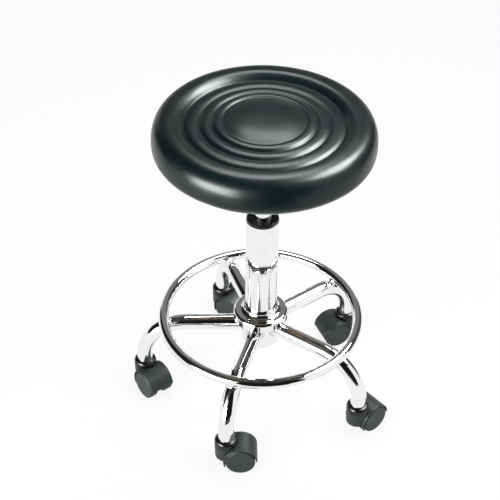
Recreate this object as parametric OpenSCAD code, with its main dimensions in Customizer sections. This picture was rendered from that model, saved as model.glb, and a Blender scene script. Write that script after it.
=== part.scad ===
// Rolling work stool: a round padded seat on a gas lift, over a five-leg tube base with a foot ring
// and twin-wheel casters. Millimetres, +Z up. The origin is on the floor, under the column's axis.

/* [Seat pad] */
// Diameter of the seat at its widest
seat_d = 324; // [300:1:400]
// Depth of the pad from its widest line down to its underside
pad_under_h = 18; // [16:1:24]
// Height of the pad from its widest line up to the rim's crest
pad_over_h = 38; // [30:1:50]
// Width of the rim's outer curve above its widest line
rim_over_w = 17; // [14:1:24]
// Width of the rim's inward curve below its widest line
rim_under_w = 22; // [18:1:24]
// Diameter of the innermost groove, round the central dome
groove_1_d = 120; // [100:1:126]
// Diameter of the second groove
groove_2_d = 150; // [140:1:160]
// Diameter of the third groove
groove_3_d = 186; // [176:1:196]
// Diameter of the outermost groove, at the foot of the rim
groove_4_d = 230; // [216:1:236]
// Depth of the innermost groove below the rim's crest
groove_drop = 4; // [2:0.5:10]
// How much deeper each next groove lies
groove_step = 2; // [0.5:0.5:3]
// Height of the central dome above its groove
dome_rise = 7; // [4:0.5:10]
// Height of each ridge above its grooves
ridge_rise = 4; // [2:0.5:6]
// Thickness of the vinyl cover
cover_t = 1.2; // [0.8:0.1:2]
// Diameter of the bare board inside the folded hem
hem_d = 236; // [220:1:250]
// Thickness of the plywood board
board_t = 12; // [9:1:15]
// Number of staples round the hem
staple_count = 36; // [24:1:48]
// Length of a staple's crown
staple_l = 11; // [8:1:13]
// Thickness of the staple wire
staple_t = 0.8; // [0.6:0.1:1.2]

/* [Seat plate] */
// Width of the square steel plate under the board
plate_w = 150; // [140:1:160]
// Thickness of the plate
plate_t = 2.5; // [2:0.5:4]
// Corner radius of the plate
plate_corner_r = 14; // [8:1:20]
// Length of the pressed box that holds the lever
box_l = 100; // [90:1:108]
// Width of the pressed box
box_w = 44; // [42:1:60]
// Depth of the box under the board
box_depth = 18; // [17:1:24]
// Distance between neighbouring bolts
bolt_pitch = 118; // [112:1:122]
// Thread diameter of the plate's bolts
bolt_d = 6; // [5:1:8]
// Outer diameter of the socket that takes the lift's taper
socket_d = 38; // [34:1:42]
// Height of the socket
socket_h = 32; // [28:1:40]

/* [Lever] */
// Direction in which the lever points, in degrees from +X
lever_turn = 35; // [0:5:355]
// Diameter of the lever's rod
lever_rod_d = 8; // [6:0.5:9]
// Diameter of the pin that the lever turns on
lever_pin_d = 5; // [4:0.5:6]
// Distance of the lever's pin from the column's axis
lever_pin_x = 26; // [22:1:32]
// Distance of the grip's end from the column's axis
lever_reach = 140; // [130:1:148]
// How far the rod bends down outside the box
lever_droop = 12; // [11:1:16]
// Length of the grip
grip_l = 46; // [36:1:48]
// Diameter of the grip
grip_d = 14; // [12:1:15]

/* [Gas lift] */
// Outer diameter of the column tube
column_d = 50; // [48:1:52]
// Wall of the column tube
column_wall = 2; // [1.6:0.1:2.5]
// Height of the column tube's top above the floor
column_top_h = 342; // [336:1:360]
// Diameter of the sliding cylinder
cylinder_d = 28; // [26:1:29]
// Diameter of the piston rod
piston_rod_d = 10; // [8:1:11]
// Length of the guide bush inside the column
bush_l = 70; // [60:1:80]
// Length of the cylinder that stays in the bush at full height
bush_keep = 46; // [36:1:50]
// Height of the bush's flange on top of the column
bush_flange_h = 6; // [4:1:8]
// How far the seat can still go down
lift_down = 66; // [50:1:68]
// How far the seat can still go up
lift_up = 104; // [90:1:106]
// Height of the rubber stop over the bearing
bump_h = 12; // [12:1:18]
// Diameter of the release button
button_d = 7; // [6:0.5:8]
// Travel of the release button
button_travel = 2.5; // [1.5:0.5:3]

/* [Base] */
// Outer diameter of the leg tubes
leg_d = 25; // [22:1:25]
// Wall of the leg tubes
leg_wall = 1.5; // [1.2:0.1:2]
// Distance of each leg's foot from the column's axis
leg_reach = 187; // [184:1:210]
// Height of a leg's middle line where it leaves the hub
leg_run_h = 136; // [134:1:142]
// Radius of the bend of a leg, on its middle line
leg_bend_r = 68; // [62:1:72]
// Direction of the first leg, in degrees from +X
leg_turn = 39; // [0:1:71]
// Outer diameter of the hub
hub_d = 60; // [58:1:64]
// Height of the hub above the legs' middle line
hub_over = 28; // [27:1:33]
// Depth of the hub below the legs' middle line
hub_under = 31; // [30:1:40]
// Diameter of the hub's cover
cover_d = 86; // [80:1:92]
// Height of the hub's cover
cover_h = 22.5; // [21:0.5:26]
// Height of the upright skirt of the cover
cover_skirt_h = 10; // [8:1:11]
// Diameter of the foot ring, on the middle line of its tube
ring_d = 309; // [290:1:320]
// Diameter of the foot ring's tube
ring_tube_d = 16; // [14:1:18]
// Wall of the foot ring's tube
ring_wall = 1.2; // [1:0.1:2]

/* [Casters] */
// Diameter of a wheel
wheel_d = 46; // [45:1:50]
// Width of a wheel
wheel_w = 14.5; // [13:0.5:16]
// Thickness of the housing's web between the wheels
web_t = 13; // [13:0.5:15]
// Distance of the wheels' axis from the stem
trail = 22; // [21:0.5:24]
// Thickness of the hood
hood_t = 2; // [1.8:0.1:2.6]
// Height of the hood's edge on the side where the stem is
lip_lead_h = 13; // [11:1:16]
// Height of the hood's edge at its far end
lip_trail_h = 25; // [22:1:28]
// Diameter of the housing's neck and of the collar above it
neck_d = 35.6; // [34:0.2:38]
// Height of the collar round the leg's foot
collar_h = 10; // [8.5:0.5:12]
// Height of the upright band at the collar's foot
collar_band_h = 4; // [3:0.5:4.5]
// Diameter of the stem
stem_d = 10; // [9:0.5:10]
// Length of the stem inside the leg
stem_l = 15; // [12:1:16]
// Diameter of the axle
axle_d = 6; // [5:0.5:8]

/* [Hidden] */
$fn = 96;
wide_fn = 288;
leg_count = 5;
leg_ids = [1:leg_count];
// Way that each caster trails, in degrees from +X, as the casters happen to stand
caster_turns = [204, 326, 309, 2, 42];

// Clearances and overruns
over = 1;
run_gap = 0.1;
seat_gap = 0.1;
open_gap = 0.3;
touch_gap = 0.05;

// Steps on the curves of the pad's outline, and on the small rounded edges
arc_steps = 8;
edge_steps = 4;

// Casters, from the floor up
wheel_r = wheel_d / 2;
wheel_edge_r = 2;
wheel_side_gap = 0.5;
wheel_in_y = web_t / 2 + wheel_side_gap;
wheel_cap_t = 2.2;
wheel_hub_r = 7;
wheel_rim_t = 4;
wheel_recess = 9;
hood_gap = 1.6;
hood_in_r = wheel_r + hood_gap;
hood_r = hood_in_r + hood_t;
hood_edge_r = 1.6;
hood_inset = 0.4;
hood_w = 2 * (wheel_in_y + wheel_w - hood_inset);
lip_angle = atan2(lip_trail_h - lip_lead_h, 2 * hood_r);
web_boss_r = 9;
neck_r = neck_d / 2;
neck_draw = 0.8;
neck_over_t = 0.6;
neck_foot_h = 22;
neck_top_h = wheel_r + hood_in_r + neck_over_t;
recess_gap = 0.5;
recess_r = neck_r + recess_gap;
collar_foot_h = neck_top_h + open_gap;
collar_floor_t = 3;
collar_lip_t = 0.4;
collar_top_h = collar_foot_h + collar_h;
edge_r = 1;
stem_r = stem_d / 2;
stem_foot_h = 19;
stem_tip_h = 2;
stem_tip_r = stem_r - stem_tip_h / 2;
stem_groove_t = 1;
stem_ring_w = 1.5;
stem_ring_drop = 4;

// Legs and hub
leg_r = leg_d / 2;
leg_in_r = leg_r - leg_wall;
leg_foot_h = collar_foot_h + collar_floor_t;
bend_r = min(leg_bend_r, leg_run_h - collar_top_h);
bend_x = leg_reach - bend_r;
bend_h = leg_run_h - bend_r;
socket_clear = 0.4;
hub_r = hub_d / 2;
hub_foot_h = leg_run_h - hub_under;
hub_top_h = leg_run_h + hub_over;
weld_r = 2.6;
ring_weld_r = 6;

// The ring rests on the legs where they bend
ring_r = ring_d / 2;
ring_tube_r = ring_tube_d / 2;
ring_rest_r = bend_r + leg_r + ring_tube_r + touch_gap;
ring_h = bend_h + sqrt(ring_rest_r * ring_rest_r - (ring_r - bend_x) * (ring_r - bend_x));
ring_rest_angle = asin((ring_r - bend_x) / ring_rest_r);

// Column and bearing, from the bottom up
column_r = column_d / 2;
column_in_r = column_r - column_wall;
column_taper = 1;
column_tail = 3;
column_foot_h = hub_foot_h - column_tail;
column_floor_t = 3;
spigot_step = 1;
spigot_r = piston_rod_d / 2 - spigot_step;
bearing_h = column_foot_h + column_floor_t;
washer_t = 2;
washer_r = 11;
ball_r = 1.8;
ball_count = 10;
ball_ring_r = 8;
cage_t = 1.6;
cage_side = 2.6;
top_washer_h = bearing_h + washer_t + 2 * ball_r + open_gap;
rod_foot_h = top_washer_h + washer_t;
clip_t = 1.2;
clip_r = 7.5;
clip_groove = 0.6;
clip_h = column_foot_h - clip_t - open_gap;
spigot_tail = 3;
bush_inset = 0.6;
bush_flange_r = column_r - bush_inset;
bush_edge = 1.5;
bush_top_h = column_top_h + bush_flange_h;

// Hub cover: it lies over the legs, or rests on the hub's top edge where that is higher
cover_clear = 1;
cover_plate_t = 1.2;
cover_shoulder_w = 6;
cover_shoulder_h = 5;
waist_r = cover_d / 2 - cover_shoulder_w;
neck_w = waist_r - column_r - seat_gap - cover_plate_t;
neck_h = cover_h - cover_skirt_h - cover_shoulder_h;
rest_share = max(0, waist_r - hub_r) / (neck_w + cover_plate_t);
cover_rest_h = cover_h - (neck_h + cover_plate_t) * sqrt(max(0, 1 - rest_share * rest_share));
cover_foot_h = max(leg_run_h + leg_r + cover_clear, hub_top_h + open_gap - cover_rest_h);

// Punched dimples that hold the bush in the column, in pairs
dimple_r = 2.5;
dimple_depth = 0.5;
dimple_drop = 10.5;
dimple_pairs = 3;
dimple_turn = 75;
dimple_spread = 24;

// Sliding cylinder and socket
cylinder_r = cylinder_d / 2;
cylinder_wall = 2;
cylinder_in_r = cylinder_r - cylinder_wall;
stop_gap = 4;
socket_foot_h = bush_top_h + stop_gap + lift_down;
box_floor_h = socket_foot_h + socket_h;
cylinder_sink = 1;
cylinder_top_h = box_floor_h - cylinder_sink;
cylinder_taper = 0.7;
cylinder_foot_h = column_top_h - bush_keep - lift_up;
cylinder_head = 13;
gland_h = 15;
bump_r = 11.5;
piston_h = 10;
piston_gap = 1;
piston_foot_h = cylinder_foot_h + gland_h + lift_up + piston_gap;
rod_nose = 4;

// Seat
seat_r = seat_d / 2;
board_foot_h = box_floor_h + box_depth;
pad_foot_h = board_foot_h - cover_t;
wide_h = pad_foot_h + pad_under_h;
crest_h = wide_h + pad_over_h;
crest_r = seat_r - rim_over_w;
board_r = seat_r - rim_under_w;
board_gap = 0.2;
tee_r = 9.5;
tee_t = 1.2;
tee_wall = 0.9;
bolt_head_h = 4;
bolt_head_r = 5.8;
bolt_flange_r = 7.5;
bolt_flange_t = 1;
bolt_grip = 10;

// Lever
lever_r = lever_rod_d / 2;
button_gap = 0.5;
button_rest = 1;
lever_rise = lever_r + button_gap + button_travel + button_rest;
lever_h = box_floor_h + lever_rise;
lever_tail = 5;
lever_lug_r = 6.5;
lever_lug_gap = 0.5;
lever_lug_w = box_w - 2 * plate_t - 2 * lever_lug_gap;
lever_bend_out = 6;
lever_bend_x = box_l / 2 + lever_bend_out;
lever_slope_l = 26;
slot_side = 1;
slot_w = lever_rod_d + 2 * slot_side;
slot_edge = 2;
slot_foot_h = box_floor_h + slot_edge;
slot_top_h = board_foot_h - slot_edge;
pin_head_r = 4;
pin_head_t = 1.5;
button_top_h = lever_h - lever_r - button_gap;
button_l = 22;
grip_end = 6;

// Points on an arc of an ellipse, as [radius, height]
function arc_points(r, h, a, b, from, to, steps = arc_steps) =
    [for (i = [0:steps]) let (t = from + (to - from) * i / steps) [r + a * cos(t), h + b * sin(t)]];

// Points on a small round edge
function edge_points(r, h, edge, from, to) = arc_points(r, h, edge, edge, from, to, edge_steps);

// Points along a rounded ridge between two grooves, without its last point
function ridge_points(r0, h0, r1, h1, rise) =
    [for (i = [0:arc_steps - 1]) let (t = i / arc_steps)
        [r0 + (r1 - r0) * t, h0 + (h1 - h0) * t + 4 * rise * t * (1 - t)]];

// Radius of groove n and its height, counted from the middle outwards
function groove_r(n) = [groove_1_d, groove_2_d, groove_3_d, groove_4_d][n - 1] / 2;
function groove_h(n) = crest_h - groove_drop - (n - 1) * groove_step;

// Radius of the tapered column at a height
function column_r_at(h) =
    column_r - column_taper * (hub_top_h - min(h, hub_top_h)) / (hub_top_h - column_foot_h);

// Radius of the tapered end of the sliding cylinder at a height
function taper_r_at(h) =
    cylinder_r - cylinder_taper * (h - socket_foot_h) / (cylinder_top_h - socket_foot_h);

// Half section of the pad, drawn in by inset on every side
module pad_outline(inset) {
    dome = [for (i = [0:arc_steps - 1]) let (t = i / arc_steps)
        [groove_r(1) * t, groove_h(1) - inset + dome_rise * (1 - t * t)]];
    ridges = [for (n = [1:3])
        each ridge_points(groove_r(n), groove_h(n) - inset, groove_r(n + 1), groove_h(n + 1) - inset,
                          ridge_rise)];
    rim_drop = crest_h - groove_h(4);
    rim_inner = [for (i = [0:arc_steps - 1]) let (t = i / arc_steps)
        [groove_r(4) + (crest_r - groove_r(4)) * t, groove_h(4) - inset + rim_drop * sin(90 * t)]];
    rim_over = arc_points(crest_r, wide_h, rim_over_w - inset, pad_over_h - inset, 90, 0);
    rim_under = arc_points(board_r, wide_h, rim_under_w - inset, pad_under_h - inset, 0, -90);
    polygon(concat([[0, pad_foot_h + inset]], dome, ridges, rim_inner, rim_over, rim_under));
}

module seat_cover() {
    color("#2b3132")
    rotate_extrude()
    difference() {
        pad_outline(0);
        pad_outline(cover_t);
        translate([0, pad_foot_h - over]) square([hem_d / 2, cover_t + 2 * over]);
    }
}

module seat_foam() {
    color("#d9c58b")
    rotate_extrude()
    difference() {
        pad_outline(cover_t + board_gap);
        translate([0, pad_foot_h]) square([board_r + board_gap, cover_t + board_t + board_gap]);
    }
}

module bolt_places() {
    for (x = [-1, 1], y = [-1, 1])
        rotate([0, 0, lever_turn]) translate([x * bolt_pitch / 2, y * bolt_pitch / 2, 0]) children();
}

module seat_board() {
    color("#b98d5a")
    difference() {
        translate([0, 0, board_foot_h]) cylinder(r = board_r, h = board_t);
        bolt_places() {
            translate([0, 0, board_foot_h - over])
                cylinder(r = bolt_d / 2 + tee_wall + board_gap, h = board_t + 2 * over);
            translate([0, 0, board_foot_h + board_t - tee_t - board_gap])
                cylinder(r = tee_r + board_gap, h = tee_t + over);
        }
    }
}

module hem_staples() {
    staple_ring_r = (hem_d / 2 + board_r) / 2;
    color("#b9bcc0")
    for (i = [0:staple_count - 1])
        rotate([0, 0, 360 * i / staple_count])
            translate([staple_ring_r - staple_l / 2, -staple_t / 2, pad_foot_h - staple_t])
                cube([staple_l, staple_t, staple_t]);
}

// Square with rounded corners, in the plane
module rounded_square(w, r) {
    square([w - 2 * r, w], center = true);
    square([w, w - 2 * r], center = true);
    for (x = [-1, 1], y = [-1, 1]) translate([x * (w / 2 - r), y * (w / 2 - r)]) circle(r = r);
}

module seat_plate() {
    color("#3b3d40")
    difference() {
        rotate([0, 0, lever_turn]) {
            translate([0, 0, board_foot_h - plate_t]) linear_extrude(plate_t)
                difference() {
                    rounded_square(plate_w, plate_corner_r);
                    square([box_l - 2 * plate_t, box_w - 2 * plate_t], center = true);
                }
            translate([0, 0, box_floor_h]) linear_extrude(box_depth - plate_t)
                difference() {
                    square([box_l, box_w], center = true);
                    square([box_l - 2 * plate_t, box_w - 2 * plate_t], center = true);
                }
            translate([0, 0, box_floor_h - plate_t]) linear_extrude(plate_t)
                square([box_l, box_w], center = true);
        }
        translate([0, 0, box_floor_h - plate_t - over])
            cylinder(r = taper_r_at(box_floor_h - plate_t) + open_gap, h = plate_t + 2 * over);
        rotate([0, 0, lever_turn]) {
            translate([box_l / 2 - plate_t - over, -slot_w / 2, slot_foot_h])
                cube([plate_t + 2 * over, slot_w, slot_top_h - slot_foot_h]);
            translate([lever_pin_x, 0, lever_h]) rotate([90, 0, 0])
                cylinder(r = lever_pin_d / 2 + touch_gap, h = box_w + 2 * over, center = true);
        }
        bolt_places() translate([0, 0, board_foot_h - plate_t - over])
            cylinder(r = bolt_d / 2 + open_gap, h = plate_t + 2 * over);
    }
}

module taper_socket() {
    socket_top_h = box_floor_h - plate_t;
    color("#3b3d40")
    difference() {
        translate([0, 0, socket_foot_h]) cylinder(d = socket_d, h = socket_top_h - socket_foot_h);
        translate([0, 0, socket_foot_h - over])
            cylinder(r1 = taper_r_at(socket_foot_h - over) + seat_gap,
                     r2 = taper_r_at(socket_top_h + over) + seat_gap,
                     h = socket_top_h - socket_foot_h + 2 * over);
    }
}

module plate_bolts() {
    color("#c3c6ca")
    bolt_places() translate([0, 0, board_foot_h - plate_t - bolt_flange_t]) {
        cylinder(r = bolt_flange_r, h = bolt_flange_t);
        translate([0, 0, -bolt_head_h]) cylinder(r = bolt_head_r, h = bolt_head_h, $fn = 6);
        cylinder(d = bolt_d, h = bolt_grip + plate_t);
    }
}

module tee_nuts() {
    color("#c3c6ca")
    bolt_places() difference() {
        union() {
            translate([0, 0, board_foot_h + board_t - tee_t]) cylinder(r = tee_r, h = tee_t);
            translate([0, 0, board_foot_h + board_t - bolt_grip + tee_t])
                cylinder(r = bolt_d / 2 + tee_wall, h = bolt_grip - 2 * tee_t);
        }
        translate([0, 0, board_foot_h - over]) cylinder(r = bolt_d / 2 + touch_gap, h = board_t + 2 * over);
    }
}

// Round bar between two points of the lever's upright plane, with a ball at its far end
module lever_bar(x0, h0, x1, h1) {
    l = sqrt((x1 - x0) * (x1 - x0) + (h1 - h0) * (h1 - h0));
    translate([x0, 0, h0]) rotate([0, 90 - atan2(h1 - h0, x1 - x0), 0]) cylinder(r = lever_r, h = l);
    translate([x1, 0, h1]) sphere(r = lever_r);
}

module lever_rod() {
    slope_end_x = lever_bend_x + lever_slope_l;
    rod_end_x = lever_reach - grip_end;
    color("#b9bcc0")
    rotate([0, 0, lever_turn])
    difference() {
        union() {
            lever_bar(-lever_tail, lever_h, lever_bend_x, lever_h);
            lever_bar(lever_bend_x, lever_h, slope_end_x, lever_h - lever_droop);
            translate([slope_end_x, 0, lever_h - lever_droop]) rotate([0, 90, 0])
                cylinder(r = lever_r, h = rod_end_x - slope_end_x);
            translate([lever_pin_x, 0, lever_h]) rotate([90, 0, 0])
                cylinder(r = lever_lug_r, h = lever_lug_w, center = true);
        }
        translate([lever_pin_x, 0, lever_h]) rotate([90, 0, 0])
            cylinder(r = lever_pin_d / 2 + run_gap, h = box_w, center = true);
    }
}

module lever_grip() {
    grip_r = grip_d / 2;
    color("#1d1f21")
    rotate([0, 0, lever_turn]) translate([lever_reach - grip_l, 0, lever_h - lever_droop]) rotate([0, 90, 0])
    difference() {
        rotate_extrude() polygon(concat([[0, 0], [grip_r - grip_end / 2, 0], [grip_r, grip_end / 2]],
            arc_points(0, grip_l - grip_end, grip_r, grip_end, 0, 90)));
        translate([0, 0, -over]) cylinder(r = lever_r + touch_gap, h = grip_l - grip_end + over + touch_gap);
    }
}

module lever_pin() {
    color("#b9bcc0")
    rotate([0, 0, lever_turn]) translate([lever_pin_x, 0, lever_h]) rotate([90, 0, 0]) {
        cylinder(d = lever_pin_d, h = box_w + 2 * pin_head_t, center = true);
        for (side = [-1, 1]) translate([0, 0, side * (box_w + pin_head_t) / 2])
            cylinder(r = pin_head_r, h = pin_head_t, center = true);
    }
}

module gas_cylinder() {
    color("#d6d9dc")
    difference() {
        union() {
            translate([0, 0, cylinder_foot_h]) cylinder(r = cylinder_r, h = socket_foot_h - cylinder_foot_h);
            translate([0, 0, socket_foot_h])
                cylinder(r1 = cylinder_r, r2 = taper_r_at(cylinder_top_h),
                         h = cylinder_top_h - socket_foot_h);
        }
        translate([0, 0, cylinder_foot_h - over])
            cylinder(r = cylinder_in_r, h = cylinder_top_h - cylinder_head - cylinder_foot_h + over);
        translate([0, 0, cylinder_top_h - cylinder_head - over])
            cylinder(r = button_d / 2 + run_gap, h = cylinder_head + 2 * over);
    }
}

module cylinder_gland() {
    color("#1d1f21")
    translate([0, 0, cylinder_foot_h]) difference() {
        cylinder(r = cylinder_in_r - touch_gap, h = gland_h);
        translate([0, 0, -over]) cylinder(r = piston_rod_d / 2 + run_gap, h = gland_h + 2 * over);
    }
}

module release_button() {
    color("#1d1f21")
    translate([0, 0, button_top_h - button_l]) cylinder(d = button_d, h = button_l);
}

module piston() {
    color("#8d9094")
    translate([0, 0, piston_foot_h]) difference() {
        cylinder(r = cylinder_in_r - open_gap, h = piston_h);
        translate([0, 0, -over]) cylinder(r = piston_rod_d / 2 + touch_gap, h = piston_h + 2 * over);
    }
}

module piston_rod() {
    spigot_foot_h = clip_h - spigot_tail;
    color("#b9bcc0")
    difference() {
        union() {
            translate([0, 0, rod_foot_h])
                cylinder(d = piston_rod_d, h = piston_foot_h + piston_h + rod_nose - rod_foot_h);
            translate([0, 0, spigot_foot_h]) cylinder(r = spigot_r, h = rod_foot_h - spigot_foot_h);
        }
        translate([0, 0, clip_h - touch_gap]) difference() {
            cylinder(r = spigot_r + over, h = clip_t + 2 * touch_gap);
            cylinder(r = spigot_r - clip_groove, h = clip_t + 2 * touch_gap);
        }
    }
}

// Flat ring on the column's axis
module flat_ring(r, bore_r, h, t) {
    translate([0, 0, h]) difference() {
        cylinder(r = r, h = t);
        translate([0, 0, -over]) cylinder(r = bore_r, h = t + 2 * over);
    }
}

module bump_stop() {
    color("#1d1f21") flat_ring(bump_r, piston_rod_d / 2 + touch_gap, rod_foot_h, bump_h);
}

module bearing_top_washer() {
    color("#b9bcc0") flat_ring(washer_r, spigot_r + touch_gap, top_washer_h, washer_t);
}

module bearing_lower_washer() {
    color("#b9bcc0") flat_ring(washer_r, spigot_r + run_gap, bearing_h, washer_t);
}

module thrust_bearing() {
    ball_h = bearing_h + washer_t + ball_r;
    color("#c9a84a") difference() {
        flat_ring(ball_ring_r + cage_side, ball_ring_r - cage_side, ball_h - cage_t / 2, cage_t);
        for (i = [0:ball_count - 1]) rotate([0, 0, 360 * i / ball_count])
            translate([ball_ring_r, 0, ball_h - cage_t]) cylinder(r = ball_r + run_gap, h = 2 * cage_t);
    }
    color("#b9bcc0") for (i = [0:ball_count - 1]) rotate([0, 0, 360 * i / ball_count])
        translate([ball_ring_r, 0, ball_h]) sphere(r = ball_r);
}

module retaining_clip() {
    color("#3b3d40") flat_ring(clip_r, spigot_r - clip_groove + touch_gap, clip_h, clip_t);
}

module guide_bush() {
    color("#17191a")
    difference() {
        union() {
            translate([0, 0, column_top_h - bush_l]) cylinder(r = column_in_r - seat_gap, h = bush_l);
            translate([0, 0, column_top_h]) cylinder(r = bush_flange_r, h = bush_flange_h - bush_edge);
            translate([0, 0, bush_top_h - bush_edge])
                cylinder(r1 = bush_flange_r, r2 = bush_flange_r - bush_edge, h = bush_edge);
        }
        translate([0, 0, column_top_h - bush_l - over])
            cylinder(r = cylinder_r + run_gap, h = bush_l + bush_flange_h + 2 * over);
    }
}

module column_tube() {
    color("#e4e6e8")
    difference() {
        union() {
            translate([0, 0, column_foot_h])
                cylinder(r1 = column_r_at(column_foot_h), r2 = column_r, h = hub_top_h - column_foot_h);
            translate([0, 0, hub_top_h]) cylinder(r = column_r, h = column_top_h - hub_top_h);
        }
        translate([0, 0, bearing_h]) cylinder(r = column_in_r, h = column_top_h - bearing_h + over);
        translate([0, 0, column_foot_h - over])
            cylinder(r = spigot_r + run_gap, h = column_floor_t + 2 * over);
        for (i = [0:dimple_pairs - 1], side = [-1, 1])
            rotate([0, 0, dimple_turn + 360 * i / dimple_pairs + side * dimple_spread / 2])
                translate([column_r + dimple_r - dimple_depth, 0, column_top_h - dimple_drop])
                    sphere(r = dimple_r);
    }
}

module hub() {
    color("#d6d9dc")
    difference() {
        translate([0, 0, hub_foot_h]) cylinder(r = hub_r, h = hub_top_h - hub_foot_h);
        translate([0, 0, hub_foot_h])
            cylinder(r1 = column_r_at(hub_foot_h) + seat_gap, r2 = column_r + seat_gap,
                     h = hub_top_h - hub_foot_h);
        translate([0, 0, hub_foot_h - over]) cylinder(r = column_r_at(hub_foot_h) + seat_gap, h = 2 * over);
        translate([0, 0, hub_top_h - over]) cylinder(r = column_r + seat_gap, h = 2 * over);
    }
}

// Half section of the cover, drawn in by inset: a skirt, a round shoulder and a hollow neck round the column
module cover_outline(inset) {
    polygon(concat(
        [[0, -over], [cover_d / 2 - inset, -over]],
        arc_points(waist_r, cover_skirt_h, cover_shoulder_w - inset, cover_shoulder_h - inset, 0, 90),
        arc_points(waist_r, cover_h, neck_w + inset, neck_h + inset, 270, 180),
        [[0, cover_h]]));
}

module hub_cover() {
    color("#e4e6e8")
    translate([0, 0, cover_foot_h]) rotate_extrude() difference() {
        cover_outline(0);
        cover_outline(cover_plate_t);
        translate([0, -2 * over]) square([cover_d, 2 * over]);
        translate([0, -over]) square([column_r + seat_gap, cover_h + 2 * over]);
    }
}

// A straight run, a bend and an upright foot, as a round bar along +X
module leg_bar(r, extra) {
    translate([0, 0, leg_run_h]) rotate([0, 90, 0]) cylinder(r = r, h = bend_x);
    translate([bend_x, 0, bend_h]) rotate([90, 0, 0])
        rotate_extrude(angle = 90, $fn = wide_fn) translate([bend_r, 0]) circle(r = r);
    translate([leg_reach, 0, leg_foot_h - extra]) cylinder(r = r, h = bend_h - leg_foot_h + extra);
}

module leg_turned(i) {
    rotate([0, 0, leg_turn + 360 * (i - 1) / leg_count]) children();
}

module leg(i) {
    color("#e4e6e8")
    leg_turned(i) difference() {
        leg_bar(leg_r, 0);
        leg_bar(leg_in_r, over);
        translate([0, 0, hub_foot_h]) cylinder(r = hub_r + touch_gap, h = hub_top_h - hub_foot_h);
    }
}

module foot_ring() {
    color("#e4e6e8")
    translate([0, 0, ring_h]) rotate_extrude($fn = wide_fn) translate([ring_r, 0]) difference() {
        circle(r = ring_tube_r);
        circle(r = ring_tube_r - ring_wall);
    }
}

module ring_welds() {
    color("#b9bcc0")
    for (i = leg_ids) leg_turned(i) difference() {
        translate([bend_x, 0, bend_h]) rotate([0, ring_rest_angle, 0])
            translate([0, 0, bend_r + leg_r]) sphere(r = ring_weld_r);
        translate([0, 0, ring_h])
            rotate_extrude($fn = wide_fn) translate([ring_r, 0]) circle(r = ring_tube_r);
        leg_bar(leg_r, 0);
    }
}

module leg_welds() {
    color("#b9bcc0")
    for (i = leg_ids) leg_turned(i) difference() {
        translate([hub_r - weld_r / 2, 0, leg_run_h]) rotate([0, 90, 0])
            rotate_extrude() translate([leg_r, 0]) circle(r = weld_r);
        translate([0, 0, leg_run_h]) rotate([0, 90, 0]) cylinder(r = leg_r, h = bend_x);
        translate([0, 0, hub_foot_h]) cylinder(r = hub_r, h = hub_top_h - hub_foot_h);
    }
}

// The collar round a leg's foot, with the plug that fits inside the tube
module caster_socket() {
    plug_top_h = leg_foot_h + stem_l + stem_tip_h;
    shoulder_h = collar_foot_h + collar_band_h;
    difference() {
        rotate_extrude() polygon(concat(
            [[0, collar_foot_h]],
            edge_points(neck_r - edge_r, collar_foot_h + edge_r, edge_r, -90, 0),
            arc_points(leg_r + collar_lip_t, shoulder_h, neck_r - leg_r - collar_lip_t,
                       collar_top_h - shoulder_h, 0, 90),
            [[0, collar_top_h]]));
        translate([0, 0, leg_foot_h]) cylinder(r = leg_r + touch_gap, h = collar_h);
        translate([0, 0, collar_foot_h - over]) cylinder(r = stem_r + touch_gap, h = collar_h);
    }
    translate([0, 0, leg_foot_h]) difference() {
        cylinder(r = leg_in_r - socket_clear, h = plug_top_h - leg_foot_h);
        translate([0, 0, -over]) cylinder(r = stem_r + touch_gap, h = plug_top_h - leg_foot_h + 2 * over);
    }
}

module caster_sockets() {
    color("#1d1f21")
    for (i = leg_ids) leg_turned(i) translate([leg_reach, 0, 0]) caster_socket();
}

// Places a caster's piece under leg i, with +X the way that the caster trails
module caster_placed(i) {
    turn = leg_turn + 360 * (i - 1) / leg_count;
    translate([leg_reach * cos(turn), leg_reach * sin(turn), 0])
        rotate([0, 0, caster_turns[i - 1]]) children();
}

// A round bar or drum across the caster, on the wheels' axis
module cross_drum(r, w) {
    translate([trail, 0, wheel_r]) rotate([90, 0, 0]) cylinder(r = r, h = w, center = true);
}

// The hood's outer form, a drum with rounded edges across the caster
module hood_drum() {
    side = hood_w / 2;
    translate([trail, 0, wheel_r]) rotate([90, 0, 0]) rotate_extrude() polygon(concat(
        [[0, -side]],
        edge_points(hood_r - hood_edge_r, hood_edge_r - side, hood_edge_r, -90, 0),
        edge_points(hood_r - hood_edge_r, side - hood_edge_r, hood_edge_r, 0, 90),
        [[0, side]]));
}

// All that lies under the hood's slanted edge
module under_lip() {
    translate([trail - hood_r, -hood_w / 2 - over, lip_lead_h])
        rotate([0, -lip_angle, 0]) translate([-hood_r, 0, -2 * hood_r])
            cube([4 * hood_r, hood_w + 2 * over, 2 * hood_r]);
}

module caster_housing(i) {
    color("#232829")
    caster_placed(i) difference() {
        union() {
            difference() {
                union() {
                    difference() {
                        hood_drum();
                        under_lip();
                    }
                    translate([0, 0, neck_foot_h])
                        cylinder(r1 = neck_r - neck_draw, r2 = neck_r, h = neck_top_h - neck_foot_h);
                }
                for (side = [-1, 1]) translate([0, side * (web_t + hood_w) / 2, 0])
                    cross_drum(hood_in_r, hood_w);
            }
            cross_drum(web_boss_r, web_t);
        }
        cross_drum(axle_d / 2 + touch_gap, web_t + 2 * over);
        translate([0, 0, neck_top_h]) cylinder(r = recess_r, h = hood_r);
        translate([0, 0, stem_foot_h - open_gap]) cylinder(r = stem_r + run_gap, h = neck_top_h);
    }
}

module caster_axle(i) {
    color("#b9bcc0")
    caster_placed(i) cross_drum(axle_d / 2, 2 * (wheel_in_y + wheel_w - wheel_cap_t - open_gap));
}

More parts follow.
